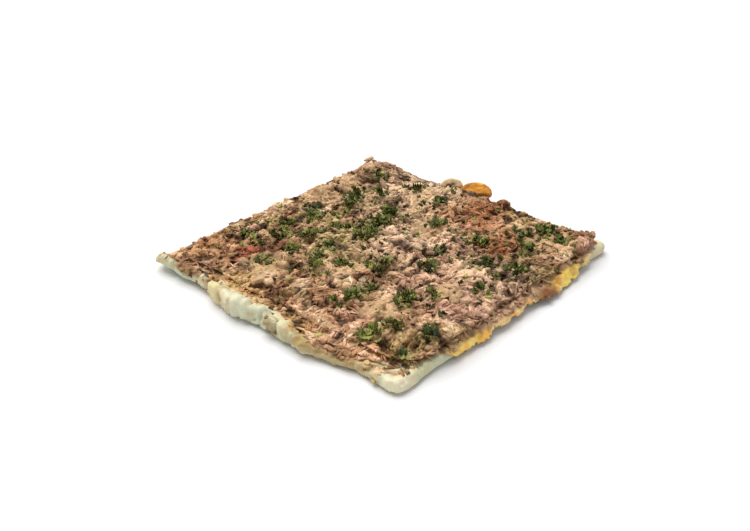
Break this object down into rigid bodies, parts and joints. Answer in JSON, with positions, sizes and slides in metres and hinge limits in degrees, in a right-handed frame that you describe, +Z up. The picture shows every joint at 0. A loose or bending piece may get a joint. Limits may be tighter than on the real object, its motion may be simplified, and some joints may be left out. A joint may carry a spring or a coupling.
{
  "type": "roast beef pizza slice",
  "caption": "Square slice of thin pizza topped with melted cheese, matted shredded roast beef, sliced mushrooms and curly parsley, lying flat on its dough base.",
  "frame": {"origin": "centre of the slice's flat base, where it rests", "axes": "+Z up, away from the base; -Y is the front side with the thick bare rim; +X is the side where the cheese hangs over"},
  "size_m": [0.1917, 0.1938, 0.0198],
  "materials": {
    "dough": "baked bread dough, pale and smooth at the sides, toasted along the top of the rim",
    "cheese": "melted cheese, yellow to orange and browned at its edge",
    "roast_beef": "shredded cooked beef, brown and slightly oily",
    "mushroom": "baked mushroom, tan with a browned cap",
    "parsley": "fresh green leaf"
  },
  "bodies": {
    "root": {"crust": "dough", "cheese": "cheese", "beef": "roast_beef", "mushroom_1": "mushroom", "mushroom_2": "mushroom", "mushroom_3": "mushroom", "mushroom_4": "mushroom", "parsley_1": "parsley", "parsley_2": "parsley", "parsley_3": "parsley", "parsley_4": "parsley", "parsley_5": "parsley", "parsley_6": "parsley", "parsley_7": "parsley", "parsley_8": "parsley", "parsley_9": "parsley"}
  },
  "joints": []
}
